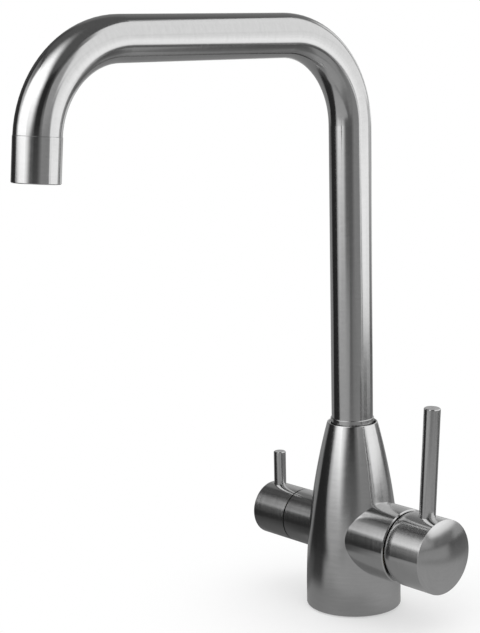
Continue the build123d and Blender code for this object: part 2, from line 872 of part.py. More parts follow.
with BuildPart() as filter_lever:
    add(
        turned(
            filter_lever_plane,
            (
                filter_lever_stub_start,
                filter_boss_radius - filter_lever_socket_depth,
                filter_lever_stub_radius,
            ),
            (
                filter_boss_radius - filter_lever_socket_depth,
                filter_lever_length,
                filter_lever_radius,
            ),
        )
    )
    chamfer(filter_lever.edges().sort_by(Axis.Z)[-1], lever_top_chamfer)
filter_lever.part.label = "filter_lever"
export_step(filter_lever.part, "parts/filter_lever.step")

with BuildPart() as filter_grub_screw:
    add(grub_screw(filter_grub_plane, spindle_radius + thread_fit))
filter_grub_screw.part.label = "filter_grub_screw"
export_step(filter_grub_screw.part, "parts/filter_grub_screw.step")

# Swivel: the bush in the casing's mouth and the washer on the block
with BuildPart() as swivel_bush:
    add(
        turned(
            Plane.XY,
            (bush_foot_height, bush_flange_height, neck_bore_radius - thread_fit),
            (bush_flange_height, bush_height, bush_collar_radius),
        )
    )
    fillet(swivel_bush.edges().group_by(Axis.Z)[-1], bush_collar_round)
    add(
        turned(Plane.XY, (bush_foot_height, bush_height, tube_radius + running_fit)),
        mode=Mode.SUBTRACT,
    )
swivel_bush.part.label = "swivel_bush"
export_step(swivel_bush.part, "parts/swivel_bush.step")

with BuildPart() as swivel_washer:
    add(
        ring(
            Plane.XY,
            block_height,
            block_height + washer_thickness,
            swivel_socket_radius + thread_fit,
            block_neck_radius,
        )
    )
swivel_washer.part.label = "swivel_washer"
export_step(swivel_washer.part, "parts/swivel_washer.step")

# Brass spigot in the tube's foot, with two seal grooves and the clip groove
spigot_radius = swivel_socket_radius - running_fit
spigot_top = tube_foot_height + spigot_tube_length
with BuildPart() as spout_spigot:
    add(
        turned(
            Plane.XY,
            (socket_floor + spigot_foot_gap, tube_foot_height, spigot_radius),
            (tube_foot_height, spigot_top, tube_bore_radius - thread_fit),
        )
    )
    add(turned(Plane.XY, (socket_floor, spigot_top, spigot_bore_radius)), mode=Mode.SUBTRACT)
    for height in spigot_seal_heights:
        add(
            ring(
                Plane.XY,
                height - spigot_groove_height / 2,
                height + spigot_groove_height / 2,
                spigot_groove_radius,
                spigot_radius + overrun,
            ),
            mode=Mode.SUBTRACT,
        )
    add(
        ring(
            Plane.XY,
            clip_height - thread_fit,
            clip_height + clip_thickness + thread_fit,
            spigot_groove_radius,
            spigot_radius + overrun,
        ),
        mode=Mode.SUBTRACT,
    )
spout_spigot.part.label = "spout_spigot"
export_step(spout_spigot.part, "parts/spout_spigot.step")

spigot_seal_middle = spigot_groove_radius + spigot_seal_radius + running_fit / 2
with BuildPart() as spigot_o_rings:
    add(round_seals(Plane.XY, spigot_seal_heights, spigot_seal_middle, spigot_seal_radius))
spigot_o_rings.part.label = "spigot_o_rings"
export_step(spigot_o_rings.part, "parts/spigot_o_rings.step")

clip_bore_radius = spigot_groove_radius + thread_fit
clip_middle = ((clip_bore_radius + clip_radius) / 2, clip_height + clip_thickness / 2)
with BuildPart() as spout_clip:
    with BuildSketch(Plane.XZ):
        with Locations(clip_middle):
            Rectangle(clip_radius - clip_bore_radius, clip_thickness)
    revolve(axis=Axis.Z, revolution_arc=360 - clip_opening_angle)
spout_clip.part.label = "spout_clip"
export_step(spout_clip.part, "parts/spout_clip.step")


# The outlet leans outwards: heights on it run along its own axis and meet the arm's at spout_height
outlet_corner = Plane((0, -spout_reach, spout_height)).rotated((-outlet_lean, 0, 0))
outlet_plane = outlet_corner.offset(-spout_height)


def spout_line(foot, end):
    """Centreline up the column, along the arm and down to the outlet."""
    tip = outlet_plane.offset(end).origin
    with BuildLine(Plane.YZ) as line:
        FilletPolyline(
            (0, foot),
            (0, spout_height),
            (-spout_reach, spout_height),
            (tip.Y, tip.Z),
            radius=bend_radius,
        )
    return line.wire()


# Spout: one bent tube, cut off at the outlet's seam and bored straight there
with BuildPart() as spout_tube:
    with BuildSketch(Plane.XY.offset(tube_foot_height)):
        Circle(tube_radius)
        Circle(tube_bore_radius, mode=Mode.SUBTRACT)
    sweep(path=spout_line(tube_foot_height, outlet_height))
    add(
        turned(
            outlet_plane,
            (outlet_height - overrun, seam_height, tube_radius + overrun),
            (seam_height, seam_height + adapter_spigot_length, adapter_spigot_radius + thread_fit),
        ),
        mode=Mode.SUBTRACT,
    )
spout_tube.part.label = "spout_tube"
export_step(spout_tube.part, "parts/spout_tube.step")

screen_start = outlet_height + sleeve_lip_height
with BuildPart() as filtered_water_tube:
    with BuildSketch(Plane.XY.offset(inner_tube_foot_height)):
        Circle(inner_tube_radius)
        Circle(inner_tube_bore_radius, mode=Mode.SUBTRACT)
    sweep(path=spout_line(inner_tube_foot_height, screen_start))
filtered_water_tube.part.label = "filtered_water_tube"
export_step(filtered_water_tube.part, "parts/filtered_water_tube.step")

inner_seal_middle = inner_tube_radius + running_fit + inner_groove_depth / 2
with BuildPart() as filtered_tube_o_ring:
    add(round_seals(Plane.XY, [inner_seal_height], inner_seal_middle, inner_seal_radius))
filtered_tube_o_ring.part.label = "filtered_tube_o_ring"
export_step(filtered_tube_o_ring.part, "parts/filtered_tube_o_ring.step")

# Outlet: the adapter in the tube's end, and the sleeve that screws on it
thread_start = seam_height - adapter_thread_length
with BuildPart() as outlet_adapter:
    add(
        turned(
            outlet_plane,
            (thread_start, seam_height, adapter_thread_radius),
            (seam_height, seam_height + adapter_spigot_length, adapter_spigot_radius),
        )
    )
    add(
        turned(
            outlet_plane,
            (thread_start, seam_height + adapter_spigot_length, adapter_bore_radius),
        ),
        mode=Mode.SUBTRACT,
    )
outlet_adapter.part.label = "outlet_adapter"
export_step(outlet_adapter.part, "parts/outlet_adapter.step")

chamber_radius = sleeve_radius - aerator_chamber_wall
with BuildPart() as outlet_sleeve:
    add(turned(outlet_plane, (outlet_height, seam_height, sleeve_radius)))
    chamfer(outlet_sleeve.edges().sort_by(Axis.Z)[0], sleeve_edge_chamfer)
    chamfer(outlet_sleeve.edges().sort_by(Axis.Z)[-1], sleeve_edge_chamfer / 2)
    add(
        turned(
            outlet_plane,
            (outlet_height, screen_start, chamber_radius - sleeve_lip_width),
            (screen_start, thread_start, chamber_radius),
            (thread_start, seam_height, adapter_thread_radius + thread_fit),
        ),
        mode=Mode.SUBTRACT,
    )
outlet_sleeve.part.label = "outlet_sleeve"
export_step(outlet_sleeve.part, "parts/outlet_sleeve.step")

# Aerator: rubber washer, slotted insert and perforated screen round the inner tube
insert_start = screen_start + screen_thickness
insert_end = thread_start - aerator_washer_thickness
insert_radius = chamber_radius - thread_fit
nozzle_hole_radius = inner_tube_radius + seat_gap
with BuildPart() as aerator_washer:
    add(ring(outlet_plane, insert_end, thread_start, aerator_washer_bore_radius, insert_radius))
aerator_washer.part.label = "aerator_washer"
export_step(aerator_washer.part, "parts/aerator_washer.step")

with BuildPart() as aerator_insert:
    add(ring(outlet_plane, insert_start, insert_end, nozzle_hole_radius, insert_radius))
    with BuildSketch(outlet_plane.offset(insert_start)):
        with PolarLocations((nozzle_hole_radius + insert_radius) / 2, insert_slot_count):
            SlotOverall(insert_slot_length, insert_slot_width)
    extrude(amount=insert_end - insert_start, mode=Mode.SUBTRACT)
aerator_insert.part.label = "aerator_insert"
export_step(aerator_insert.part, "parts/aerator_insert.step")

with BuildPart() as aerator_screen:
    add(ring(outlet_plane, screen_start, insert_start, nozzle_hole_radius, insert_radius))
    with BuildSketch(outlet_plane.offset(screen_start)):
        for share, count in zip(screen_ring_radii_shares, screen_ring_counts):
            with PolarLocations(share * insert_radius, count):
                Circle(screen_hole_radius)
    extrude(amount=screen_thickness, mode=Mode.SUBTRACT)
aerator_screen.part.label = "aerator_screen"
export_step(aerator_screen.part, "parts/aerator_screen.step")
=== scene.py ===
import math

import bpy
import numpy as np
from mathutils import Matrix, Vector

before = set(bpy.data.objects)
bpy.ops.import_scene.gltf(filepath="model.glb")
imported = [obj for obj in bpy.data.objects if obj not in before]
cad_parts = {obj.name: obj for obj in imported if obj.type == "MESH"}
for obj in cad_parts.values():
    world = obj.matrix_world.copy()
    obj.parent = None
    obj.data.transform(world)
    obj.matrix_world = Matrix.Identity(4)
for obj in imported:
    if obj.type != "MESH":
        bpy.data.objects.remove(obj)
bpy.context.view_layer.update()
print("tap loaded:", len(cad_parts), "pieces")

bpy.context.scene.view_settings.view_transform = "Standard"


# camera: looks down on the tap from in front of its right shoulder

camera = {
    "target": (0.0, 0.0, 0.1738),
    "distance": 0.9626,
    "azimuth": 44.98,
    "elevation": 10.163,
    "yaw": -3.975,
    "pitch": 0.282,
    "roll": -0.448,
    "lens": 91.22,
}


def placeCamera(s):
    # stands back from its target, then turns a little: sideways, up and round its line of sight
    az, el = math.radians(s["azimuth"]), math.radians(s["elevation"])
    yaw, pitch, roll = (math.radians(s[key]) for key in ("yaw", "pitch", "roll"))
    back = Vector((math.sin(az) * math.cos(el), -math.cos(az) * math.cos(el), math.sin(el)))
    right = Vector((math.cos(az), math.sin(az), 0.0))
    level = Matrix((right, right.cross(-back), -back))
    turn = Matrix.Rotation(pitch, 3, "X") @ Matrix.Rotation(-yaw, 3, "Y")
    turned = Matrix.Rotation(-roll, 3, "Z") @ turn @ level
    lens = bpy.data.cameras.new("tapCamera")
    lens.lens = s["lens"]
    cam = bpy.data.objects.new("tapCamera", lens)
    facing = Matrix((turned[0], turned[1], -turned[2])).transposed().to_4x4()
    cam.matrix_world = Matrix.Translation(Vector(s["target"]) + back * s["distance"]) @ facing
    bpy.context.scene.collection.objects.link(cam)
    bpy.context.scene.camera = cam


placeCamera(camera)
print("camera placed")


# node helpers

def startMaterial(name):
    made = bpy.data.materials.new(name)
    made.use_nodes = True
    tree = made.node_tree
    tree.nodes.clear()
    return made, tree


def feed(tree, socket, value):
    # links an output, or sets a plain value
    if isinstance(value, bpy.types.NodeSocket):
        tree.links.new(value, socket)
    else:
        socket.default_value = value


def showOn(tree, shader, kind="ShaderNodeOutputMaterial"):
    output = tree.nodes.new(kind)
    feed(tree, output.inputs["Surface"], shader.outputs[0])


def scalar(tree, operation, *inputs):
    made = tree.nodes.new("ShaderNodeMath")
    made.operation = operation
    for socket, value in zip(made.inputs, inputs):
        feed(tree, socket, value)
    return made.outputs[0]


def vector(tree, operation, *inputs):
    made = tree.nodes.new("ShaderNodeVectorMath")
    made.operation = operation
    places = (0, 3) if operation == "SCALE" else (0, 1)
    for place, value in zip(places, inputs):
        feed(tree, made.inputs[place], value)
    return made.outputs["Value" if operation in ("LENGTH", "DOT_PRODUCT") else "Vector"]


def apart(tree, value):
    made = tree.nodes.new("ShaderNodeSeparateXYZ")
    feed(tree, made.inputs[0], value)
    return made.outputs


def joined(tree, *values):
    made = tree.nodes.new("ShaderNodeCombineXYZ")
    for socket, value in zip(made.inputs, values):
        feed(tree, socket, value)
    return made.outputs[0]


mixSockets = {"FLOAT": (2, 3, 0), "VECTOR": (4, 5, 1), "RGBA": (6, 7, 2)}  # inputs A and B, result


def mixed(tree, kind, share, first, second, blend="MIX"):
    made = tree.nodes.new("ShaderNodeMix")
    made.data_type = kind
    made.blend_type = blend
    one, other, result = mixSockets[kind]
    feed(tree, made.inputs[0], share)
    feed(tree, made.inputs[one], first)
    feed(tree, made.inputs[other], second)
    return made.outputs[result]


def carried(tree, value, old, new=(0.0, 1.0), easing="LINEAR"):
    # carries a value from its old range onto a new one, and holds it at both ends
    made = tree.nodes.new("ShaderNodeMapRange")
    made.interpolation_type = easing
    feed(tree, made.inputs["Value"], value)
    for name, limit in zip(("From Min", "From Max", "To Min", "To Max"), (*old, *new)):
        made.inputs[name].default_value = limit
    return made.outputs["Result"]


noiseMiddle = (0.3, 0.7)  # where most of a noise's values lie


def spread(tree, value, middle, reach):
    return carried(tree, value, noiseMiddle, (middle - reach, middle + reach))


def noise(tree, coordinate, scale, detail, roughness, extra=None):
    made = tree.nodes.new("ShaderNodeTexNoise")
    made.noise_dimensions = "3D" if extra is None else "4D"
    feed(tree, made.inputs["Vector"], coordinate)
    if extra is not None:
        feed(tree, made.inputs["W"], extra)
    made.inputs["Scale"].default_value = scale
    made.inputs["Detail"].default_value = detail
    made.inputs["Roughness"].default_value = roughness
    return made.outputs["Fac"]


def relief(tree, height, strength, depth):
    made = tree.nodes.new("ShaderNodeBump")
    made.inputs["Distance"].default_value = depth
    feed(tree, made.inputs["Strength"], strength)
    feed(tree, made.inputs["Height"], height)
    return made.outputs[0]


def greyTone(tree, value):
    made = tree.nodes.new("ShaderNodeCombineColor")
    for socket in made.inputs:
        feed(tree, socket, value)
    return made.outputs["Color"]


def pieceCoords(tree):
    return tree.nodes.new("ShaderNodeTexCoord")


# brushed steel: a grain function tells where a point is on its lathe, as its heading from the
# axis, its way along and its distance out, and last the direction across the grain

valve = {"height": 0.0452, "mixerRadius": 0.0227, "filterRadius": 0.0169, "blend": 0.0006}
upAxis, sideAxis = (0.0, 0.0, 1.0), (1.0, 0.0, 0.0)
middleOfFoot = (0.0, 0.0, 0.0)
valvePoint = (0.0, 0.0, valve["height"])


def turnedGrain(tree, coords, axis, point):
    fromPoint = vector(tree, "SUBTRACT", coords.outputs["Object"], point)
    along = vector(tree, "DOT_PRODUCT", fromPoint, axis)
    out = vector(tree, "SUBTRACT", fromPoint, vector(tree, "SCALE", axis, along))
    heading = vector(tree, "NORMALIZE", out)
    circling = vector(tree, "CROSS_PRODUCT", axis, heading)
    across = vector(tree, "CROSS_PRODUCT", circling, coords.outputs["Normal"])
    return heading, along, vector(tree, "LENGTH", out), across


def onAxis(axis, point):
    return lambda tree, coords: turnedGrain(tree, coords, axis, point)


def casingGrain(tree, coords, s=valve):
    # round the cone everywhere but on the two bosses, which were turned about the valves' own line
    cone = turnedGrain(tree, coords, upAxis, middleOfFoot)
    boss = turnedGrain(tree, coords, sideAxis, valvePoint)
    onMixerSide = scalar(tree, "GREATER_THAN", apart(tree, coords.outputs["Object"])[0], 0.0)
    wider = s["mixerRadius"] - s["filterRadius"]
    bossRadius = scalar(tree, "MULTIPLY_ADD", onMixerSide, wider, s["filterRadius"])
    beyond = scalar(tree, "SUBTRACT", boss[2], bossRadius)
    share = carried(tree, beyond, (s["blend"], 0.0))
    kinds = ("VECTOR" if one.type == "VECTOR" else "FLOAT" for one in cone)
    return [mixed(tree, kind, share, *pair) for kind, *pair in zip(kinds, cone, boss)]


spoutLine = {
    "bendRadius": 0.0525,
    "armStart": -0.0525,
    "armEnd": -0.1670,
    "bendLevel": 0.2920,
    "lean": math.tan(math.radians(5.0)),
}


def spoutGrain(tree, coords, s=spoutLine):
    # a tube that runs up, along and down: its nearest bend centre stands in for the axis, and past
    # the second bend that centre slides outwards with the leaning outlet
    x, y, z = apart(tree, coords.outputs["Object"])
    centreY = scalar(tree, "MAXIMUM", scalar(tree, "MINIMUM", y, s["armStart"]), s["armEnd"])
    centreZ = scalar(tree, "MINIMUM", z, s["bendLevel"])
    pastArm = scalar(tree, "LESS_THAN", y, s["armEnd"])
    slide = scalar(tree, "MULTIPLY", scalar(tree, "SUBTRACT", centreZ, s["bendLevel"]), s["lean"])
    centreY = scalar(tree, "ADD", centreY, scalar(tree, "MULTIPLY", pastArm, slide))
    stepY = scalar(tree, "SUBTRACT", y, centreY)
    stepZ = scalar(tree, "SUBTRACT", z, centreZ)
    fromCentre = joined(tree, 0.0, stepY, stepZ)
    turn = scalar(tree, "ARCTAN2", stepZ, stepY)
    straight = scalar(tree, "SUBTRACT", centreZ, centreY)
    along = scalar(tree, "MULTIPLY_ADD", turn, s["bendRadius"], straight)
    height = scalar(tree, "SUBTRACT", vector(tree, "LENGTH", fromCentre), s["bendRadius"])
    section = joined(tree, x, height, 0.0)
    across = vector(tree, "CROSS_PRODUCT", sideAxis, fromCentre)
    return vector(tree, "NORMALIZE", section), along, vector(tree, "LENGTH", section), across


steel = {
    "colour": 0.60,
    "colourDrift": 0.03,
    "around": 2.4,  # how fast the lines change on their way round
    "broad": {"pitch": 640.0, "detail": 3.0, "share": 0.6},
    "fine": {"pitch": 2600.0, "detail": 2.0, "share": 0.4},
    "lineRoughness": 0.6,
    "lineDepth": 0.00002,
    "lineStrength": 0.18,
    "roughDrift": 0.025,
    "smudge": {"scale": 22.0, "detail": 3.0, "roughness": 0.55, "drift": 0.02},
}


def brushLines(tree, slow, along, radius, s):
    # noise drawn out round the lathe and packed tightly along it and outwards
    packed = joined(tree, 0.0, 0.0, scalar(tree, "MULTIPLY", along, s["pitch"]))
    outward = scalar(tree, "MULTIPLY", radius, s["pitch"])
    place = vector(tree, "ADD", slow, packed)
    return noise(tree, place, 1.0, s["detail"], steel["lineRoughness"], outward)


def smudges(tree, coords, s):
    patches = noise(tree, coords.outputs["Object"], s["scale"], s["detail"], s["roughness"])
    return spread(tree, patches, 0.0, s["drift"])


def polishedEnd(tree, coords, radius, finish):
    # the handle's domed end has no grain, a roughness of its own, and a plain normal at its middle
    s = finish["end"]
    facing = vector(tree, "DOT_PRODUCT", coords.outputs["Normal"], sideAxis)
    end = carried(tree, scalar(tree, "ABSOLUTE", facing), (s["start"], s["full"]))
    turned = scalar(tree, "SUBTRACT", 1.0, end)
    change = scalar(tree, "MULTIPLY", end, s["roughness"] - finish["roughness"])
    anisotropy = scalar(tree, "MULTIPLY", turned, finish["anisotropy"])
    strength = scalar(tree, "MULTIPLY", turned, steel["lineStrength"])
    middle = carried(tree, radius, (s["poleRadius"], s["poleRadius"] / 2))
    return change, anisotropy, strength, middle


def brushedSteel(finish, s=steel):
    made, tree = startMaterial(finish["name"])
    coords = pieceCoords(tree)
    heading, along, radius, across = finish["grain"](tree, coords)
    slow = vector(tree, "SCALE", heading, s["around"])
    broad, fine = (brushLines(tree, slow, along, radius, s[kind]) for kind in ("broad", "fine"))
    fineShare = scalar(tree, "MULTIPLY", fine, s["fine"]["share"])
    lines = scalar(tree, "MULTIPLY_ADD", broad, s["broad"]["share"], fineShare)
    shade = scalar(tree, "ADD", spread(tree, lines, 0.0, s["colourDrift"]), s["colour"])
    grainRough = spread(tree, lines, finish["roughness"], s["roughDrift"])
    rough = scalar(tree, "ADD", grainRough, smudges(tree, coords, s["smudge"]))
    if "end" in finish:
        change, anisotropy, strength, middle = polishedEnd(tree, coords, radius, finish)
        rough = scalar(tree, "ADD", rough, change)
        normal = relief(tree, lines, strength, s["lineDepth"])
        normal = mixed(tree, "VECTOR", middle, normal, sideAxis)
    else:
        anisotropy = finish["anisotropy"]
        normal = relief(tree, lines, s["lineStrength"], s["lineDepth"])
    toWorld = tree.nodes.new("ShaderNodeVectorTransform")
    toWorld.vector_type = "VECTOR"
    toWorld.convert_from = "OBJECT"
    toWorld.convert_to = "WORLD"
    feed(tree, toWorld.inputs[0], vector(tree, "NORMALIZE", across))
    shader = tree.nodes.new("ShaderNodeBsdfPrincipled")
    feed(tree, shader.inputs["Base Color"], greyTone(tree, shade))
    shader.inputs["Metallic"].default_value = 1.0
    feed(tree, shader.inputs["Anisotropic"], anisotropy)
    feed(tree, shader.inputs["Roughness"], rough)
    feed(tree, shader.inputs["Tangent"], toWorld.outputs[0])
    feed(tree, shader.inputs["Normal"], normal)
    showOn(tree, shader)
    return made


lever = {"foot": (0.0596, 0.0, valve["height"]), "lean": math.radians(3.4)}
leverAxis = (math.sin(lever["lean"]), 0.0, math.cos(lever["lean"]))
smallLeverFoot = (-0.0656, 0.0, 0.0)

finishes = {
    "body_casing": {
        "name": "casingSteel",
        "grain": casingGrain,
        "roughness": 0.15,
        "anisotropy": 0.80,
    },
    "swivel_bush": {
        "name": "bushSteel",
        "grain": onAxis(upAxis, middleOfFoot),
        "roughness": 0.18,
        "anisotropy": 0.75,
    },
    "spout_tube": {
        "name": "spoutSteel",
        "grain": spoutGrain,
        "roughness": 0.13,
        "anisotropy": 0.80,
    },
    "outlet_sleeve": {
        "name": "sleeveSteel",
        "grain": spoutGrain,
        "roughness": 0.13,
        "anisotropy": 0.80,
    },
    "mixer_handle": {
        "name": "handleSteel",
        "grain": onAxis(sideAxis, valvePoint),
        "roughness": 0.17,
        "anisotropy": 0.95,
        "end": {"start": 0.70, "full": 0.80, "roughness": 0.15, "poleRadius": 0.0016},
    },
    "mixer_lever": {
        "name": "leverSteel",
        "grain": onAxis(leverAxis, lever["foot"]),
        "roughness": 0.16,
        "anisotropy": 0.75,
    },
    "filter_knob": {
        "name": "knobSteel",
        "grain": onAxis(sideAxis, valvePoint),
        "roughness": 0.18,
        "anisotropy": 0.95,
    },
    "filter_lever": {
        "name": "smallLeverSteel",
        "grain": onAxis(upAxis, smallLeverFoot),
        "roughness": 0.16,
        "anisotropy": 0.75,
    },
}
for node, finish in finishes.items():
    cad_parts[node].data.materials[0] = brushedSteel(finish)
print("brushed steel on", len(finishes), "pieces")


# the finishes inside

insides = {
    "brass": {
        "colour": (0.72, 0.58, 0.32),
        "metallic": 1.0,
        "roughness": 0.30,
        "grain": 900.0,
        "bump": 0.25,
    },
    "plain_steel": {
        "colour": (0.55, 0.55, 0.56),
        "metallic": 1.0,
        "roughness": 0.30,
        "grain": 700.0,
        "bump": 0.2,
    },
    "rubber": {
        "colour": (0.035, 0.035, 0.036),
        "metallic": 0.0,
        "roughness": 0.62,
        "grain": 1500.0,
        "bump": 0.3,
    },
    "seal_plastic": {
        "colour": (0.80, 0.80, 0.77),
        "metallic": 0.0,
        "roughness": 0.42,
        "grain": 1100.0,
        "bump": 0.15,
    },
    "grey_plastic": {
        "colour": (0.36, 0.37, 0.38),
        "metallic": 0.0,
        "roughness": 0.45,
        "grain": 1100.0,
        "bump": 0.2,
    },
    "black_plastic": {
        "colour": (0.05, 0.05, 0.052),
        "metallic": 0.0,
        "roughness": 0.42,
        "grain": 1100.0,
        "bump": 0.2,
    },
    "ceramic": {
        "colour": (0.86, 0.85, 0.81),
        "metallic": 0.0,
        "roughness": 0.14,
        "grain": 2400.0,
        "bump": 0.05,
    },
}
machined = {
    "stretch": (0.05, 0.05, 1.0),
    "depth": 0.00003,
    "drift": 0.07,
    "grainDetail": 3.0,
    "grainRoughness": 0.6,
    "patchScale": 60.0,
    "patchDetail": 3.0,
    "patchRoughness": 0.5,
    "roughDrift": 0.05,
}


def insideMaterial(name, s, m=machined):
    # fine grain with slow patches over it, drawn out sideways on metal as a tool leaves it
    made, tree = startMaterial(name)
    coords = pieceCoords(tree).outputs["Object"]
    place = vector(tree, "MULTIPLY", coords, m["stretch"]) if s["metallic"] else coords
    grain = noise(tree, place, s["grain"], m["grainDetail"], m["grainRoughness"])
    patches = noise(tree, coords, m["patchScale"], m["patchDetail"], m["patchRoughness"])
    darker = carried(tree, patches, noiseMiddle, (1.0 - m["drift"], 1.0))
    tone = scalar(tree, "ADD", spread(tree, grain, 0.0, m["drift"]), darker)
    colour = mixed(tree, "RGBA", 1.0, (*s["colour"], 1.0), greyTone(tree, tone), "MULTIPLY")
    rough = scalar(tree, "ADD", spread(tree, patches, 0.0, m["roughDrift"]), s["roughness"])
    shader = tree.nodes.new("ShaderNodeBsdfPrincipled")
    feed(tree, shader.inputs["Base Color"], colour)
    shader.inputs["Metallic"].default_value = s["metallic"]
    feed(tree, shader.inputs["Roughness"], rough)
    feed(tree, shader.inputs["Normal"], relief(tree, grain, s["bump"], m["depth"]))
    showOn(tree, shader)
    return made


plated = {"cartridge_housing": "plain_steel"}  # brass that is seen in the gap behind the handle
insideFinish = {
    name: insideMaterial(name.replace("_", "") + "Finish", s) for name, s in insides.items()
}
for node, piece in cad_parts.items():
    if node in finishes:
        continue
    slots = piece.data.materials
    for place, old in enumerate(slots):
        slots[place] = insideFinish[plated.get(node, old.name.split(".")[0])]
print("inner finishes:", len(insideFinish))


# studio: grey walls that only reflections see, with soft lights on them
# near counts towards the camera from the tap, side to its right and up from the table, in metres

diagonal = 0.7071
near, side = Vector((diagonal, -diagonal, 0.0)), Vector((diagonal, diagonal, 0.0))

room = {  # where its corners stand, as near and side
    "backRight": (-0.80, 0.49),
    "frontRight": (1.25, 0.49),
    "frontLeft": (1.25, -1.20),
    "leftBend": (0.15, -0.95),
    "backLeft": (-0.80, -1.10),
}
levels = {"foot": 0.0, "top": 1.38, "table": -0.0003}


def standing(first, second):
    foot, top = levels["foot"], levels["top"]
    one, other = room[first], room[second]
    return [(*one, foot), (*other, foot), (*other, top), (*one, top)]


def lying(level):
    return [(*room[name], level) for name in ("backRight", "frontRight", "frontLeft", "backLeft")]


def softLight(across, up, glow, soft, lean=(0.0, 0.0)):
    # where a light starts and ends across and up, its strength low and high, how softly it ends
    # across and up, and how far its left and right side lean for each metre up
    return {"across": across, "up": up, "glow": glow, "soft": soft, "lean": lean}


def rise(value, edge, soft):
    # 0 below the edge and 1 above it, easing over the soft width on both sides
    t = np.clip((value - edge + soft) / (2 * soft), 0, 1)
    return t * t * (3 - 2 * t)


def lightOn(glow, across, up, light):
    # a soft-edged rectangle laid over what is there, running evenly from its low to its high glow
    low, high = light["up"]
    left, right = (edge + lean * (up - low) for edge, lean in zip(light["across"], light["lean"]))
    softAcross, softUp = light["soft"]
    mask = rise(across, left, softAcross) * (1 - rise(across, right, softAcross))
    mask = mask * rise(up, low, softUp) * (1 - rise(up, high, softUp))
    share = np.clip((up - low) / (high - low), 0, 1)
    dim, bright = light["glow"]
    return glow * (1 - mask) + mask * (dim + (bright - dim) * share)


def wallGlow():
    made, tree = startMaterial("wallGlow")
    light = tree.nodes.new("ShaderNodeEmission")
    strength = tree.nodes.new("ShaderNodeAttribute")
    strength.attribute_name = "glow"
    feed(tree, light.inputs["Strength"], strength.outputs["Fac"])
    showOn(tree, light)
    return made


def studioWall(name, s, material):
    # an even grid between four corners, each point the corners' weighted mean; its glow runs
    # evenly from the grid's first row to its last, with the wall's lights laid over it in turn
    columns, rows = s["grid"]
    u, v = np.meshgrid(np.linspace(0, 1, columns), np.linspace(0, 1, rows), indexing="ij")
    weights = np.stack([(1 - u) * (1 - v), u * (1 - v), u * v, (1 - u) * v], -1).reshape(-1, 4)
    places = weights @ np.array(s["corners"])
    points = places @ np.array([near, side, (0, 0, 1)])
    across, up = (places[:, axis] for axis in s["measured"])
    dim, bright = s["glow"]
    glow = dim + (bright - dim) * v.reshape(-1)
    for light in s["lights"]:
        glow = lightOn(glow, across, up, light)
    index = np.arange(columns * rows).reshape(columns, rows)
    quads = np.stack([index[:-1, :-1], index[1:, :-1], index[1:, 1:], index[:-1, 1:]], -1)
    mesh = bpy.data.meshes.new(name)
    mesh.from_pydata(points.tolist(), [], quads.reshape(-1, 4).tolist())
    attribute = mesh.attributes.new("glow", "FLOAT", "POINT")
    attribute.data.foreach_set("value", glow.astype(np.float32))
    mesh.materials.append(material)
    wall = bpy.data.objects.new(name, mesh)
    wall.visible_camera = wall.visible_diffuse = wall.visible_shadow = False
    bpy.context.scene.collection.objects.link(wall)


nearUp, sideUp, nearSide = (0, 2), (1, 2), (0, 1)  # what across and up measure on a wall

